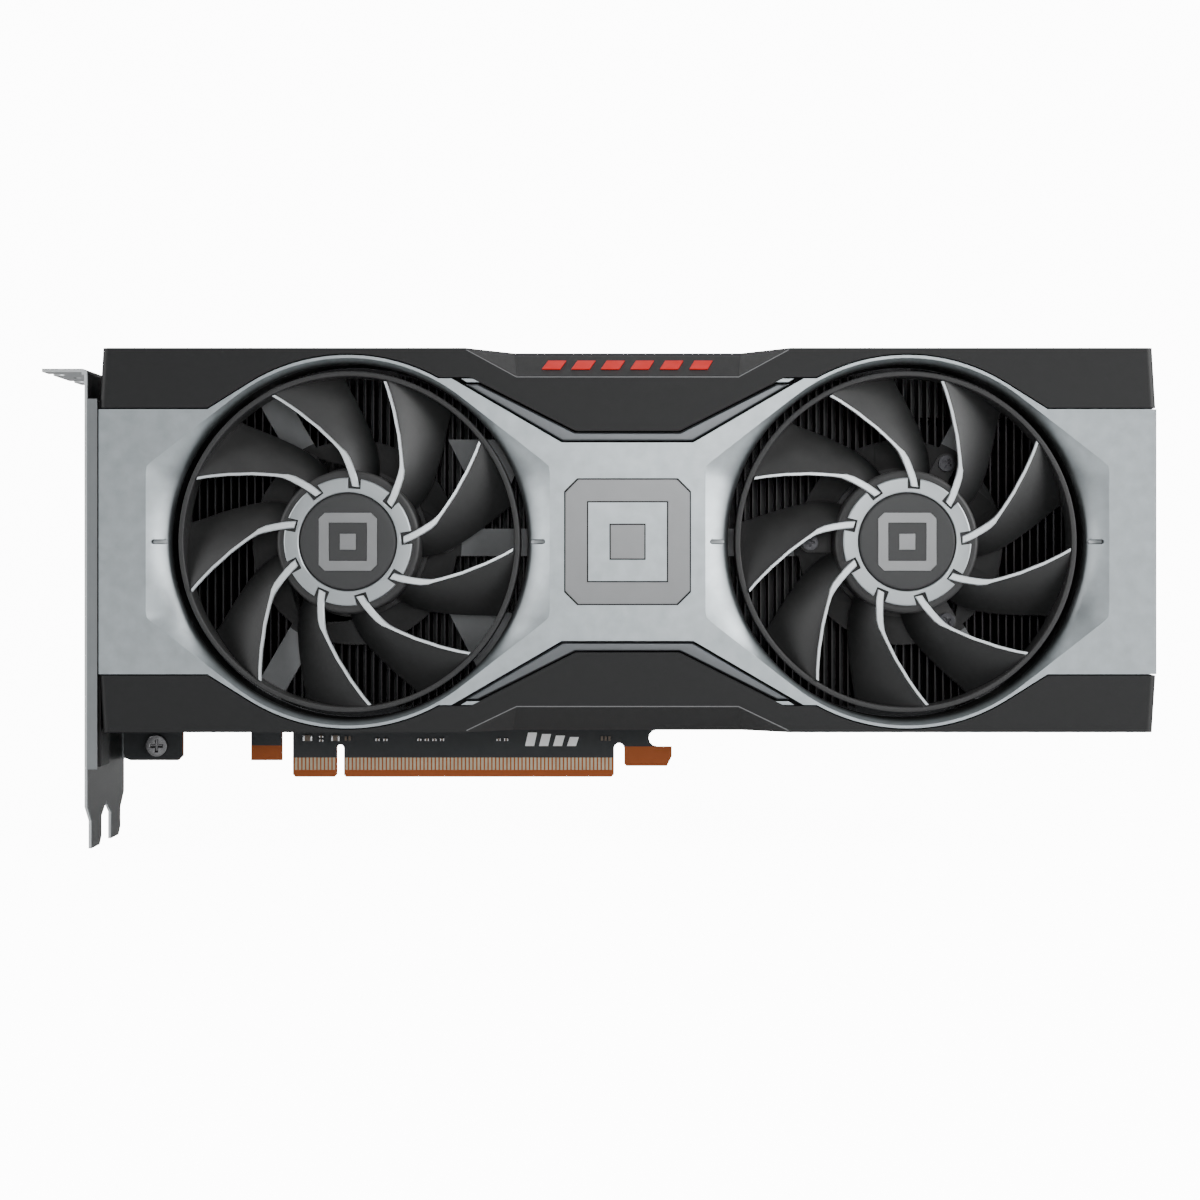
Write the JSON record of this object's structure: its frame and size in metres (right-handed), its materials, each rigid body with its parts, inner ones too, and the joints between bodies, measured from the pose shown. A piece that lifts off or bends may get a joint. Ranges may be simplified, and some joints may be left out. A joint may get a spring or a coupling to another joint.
{
  "type": "graphics card",
  "caption": "Two-slot graphics card with a silver and black twin-fan cooler, slot bracket, edge contacts and backplate; both fans spin",
  "frame": {"origin": "middle of the key notch in the edge contacts, at the tips of the contacts, half-way through the board's thickness", "axes": "+X runs along the card from the slot bracket to the tail, -Y is the way the fans face, +Z points from the edge contacts to the top edge"},
  "size_m": [0.2775, 0.0403, 0.1252],
  "materials": {
    "silver_plate": "satin",
    "black_plastic": "satin",
    "grey_trim": "satin",
    "emblem_metal": "brushed",
    "red_mark": "printed",
    "dull_mark": "matte",
    "frame_plastic": "matte",
    "motor_base_plastic": "matte",
    "dark_screw": "blackened",
    "fan_plastic": "satin",
    "blade_strip": "silver painted",
    "hub_silver": "silver painted",
    "hub_cap": "satin",
    "magnet": "matte",
    "shaft_steel": "polished",
    "copper_winding": "enamelled wire",
    "bearing_bronze": "sintered",
    "fin_aluminium": "mill",
    "pipe_copper": "plated copper",
    "cooler_black": "black anodised",
    "thermal_pad": "soft",
    "board_mask": "solder mask",
    "contact_gold": "gold plated",
    "package_green": "satin",
    "die_silicon": "polished silicon",
    "chip_black": "matte",
    "choke_grey": "matte",
    "capacitor_can": "satin",
    "small_parts": "satin",
    "socket_black": "matte",
    "bracket_steel": "plated",
    "port_steel": "plated",
    "tongue_black": "matte",
    "bright_screw": "nickel plated",
    "backplate_black": "black anodised",
    "standoff_brass": "plated",
    "spring_steel": "plated",
    "board_white": "printed"
  },
  "bodies": {
    "card": {"face_plate": "silver_plate", "top_skirt": "black_plastic", "bottom_skirt": "black_plastic", "upper_trim": "grey_trim", "lower_trim": "grey_trim", "centre_emblem": "emblem_metal", "badge_bars": "red_mark", "plate_marks": "dull_mark", "inner_frame": "frame_plastic", "motor_base_left": "motor_base_plastic", "motor_base_right": "motor_base_plastic", "motor_screws": "dark_screw", "motor_stator_left": "copper_winding", "motor_stator_right": "copper_winding", "motor_bearing_left": "bearing_bronze", "motor_bearing_right": "bearing_bronze", "fin_stack": "fin_aluminium", "heat_pipes": "pipe_copper", "cold_plate": "pipe_copper", "cooler_frame": "cooler_black", "thermal_pads": "thermal_pad", "circuit_board": "board_mask", "edge_contacts": "contact_gold", "gpu_package": "package_green", "gpu_die": "die_silicon", "memory_chips": "chip_black", "power_stages": "chip_black", "chokes": "choke_grey", "capacitors": "capacitor_can", "small_components": "small_parts", "power_socket_8": "socket_black", "power_socket_6": "socket_black", "socket_pins": "contact_gold", "slot_bracket": "bracket_steel", "displayport_shells": "port_steel", "hdmi_shell": "port_steel", "port_tongues": "tongue_black", "bracket_screws": "bright_screw", "backplate": "backplate_black", "backplate_screws": "dark_screw", "standoffs": "standoff_brass", "retention_spring": "spring_steel", "retention_screws": "bright_screw", "board_marks": "board_white"},
    "fan_left": {"rotor_left": "fan_plastic", "fan_blades_left": "fan_plastic", "blade_edges_left": "blade_strip", "hub_ring_left": "hub_silver", "hub_cap_left": "hub_cap", "hub_emblem_left": "emblem_metal", "rotor_magnet_left": "magnet", "rotor_shaft_left": "shaft_steel"},
    "fan_right": {"rotor_right": "fan_plastic", "fan_blades_right": "fan_plastic", "blade_edges_right": "blade_strip", "hub_ring_right": "hub_silver", "hub_cap_right": "hub_cap", "hub_emblem_right": "emblem_metal", "rotor_magnet_right": "magnet", "rotor_shaft_right": "shaft_steel"}
  },
  "joints": [
    {"name": "fan_left_spin", "type": "hinge", "parent": "card", "child": "fan_left", "pos_m": [0.0065, -0.02758, 0.062], "axis": [0, -1, 0], "continuous": true},
    {"name": "fan_right_spin", "type": "hinge", "parent": "card", "child": "fan_right", "pos_m": [0.1459, -0.02758, 0.062], "axis": [0, -1, 0], "continuous": true}
  ]
}
